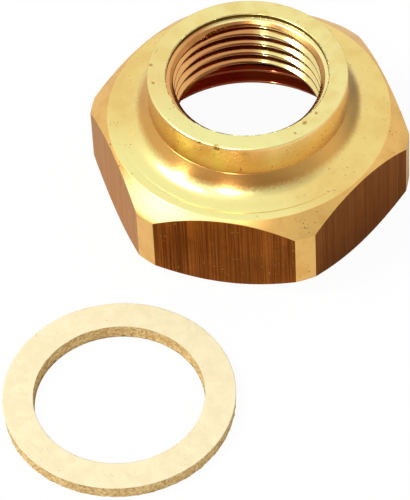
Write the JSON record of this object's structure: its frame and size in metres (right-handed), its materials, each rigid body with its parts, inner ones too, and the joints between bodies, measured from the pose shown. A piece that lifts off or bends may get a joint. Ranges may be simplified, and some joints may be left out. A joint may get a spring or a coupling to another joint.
{
  "type": "reducing socket",
  "caption": "Brass reducing socket: a round collar with a small internal thread on a hexagonal body with a larger one, with its flat fibre sealing ring beside it.",
  "frame": {"origin": "on the socket's axis, in the plane of the rim that it stands on", "axes": "+Z along the socket's axis, from the larger thread's mouth up to the collar; two of the six flats face along -Y and +Y; the sealing ring lies at -Y, a little towards -X"},
  "size_m": [0.0462, 0.0741, 0.0207],
  "materials": {
    "brass": "satin yellow brass, cast on the shoulder and turned on the collar, with browner milled flats",
    "fibre_board": "matte, pale cream pressed fibre with tan cut edges"
  },
  "bodies": {
    "root": {"socket_body": "brass", "sealing_ring": "fibre_board"}
  },
  "joints": []
}
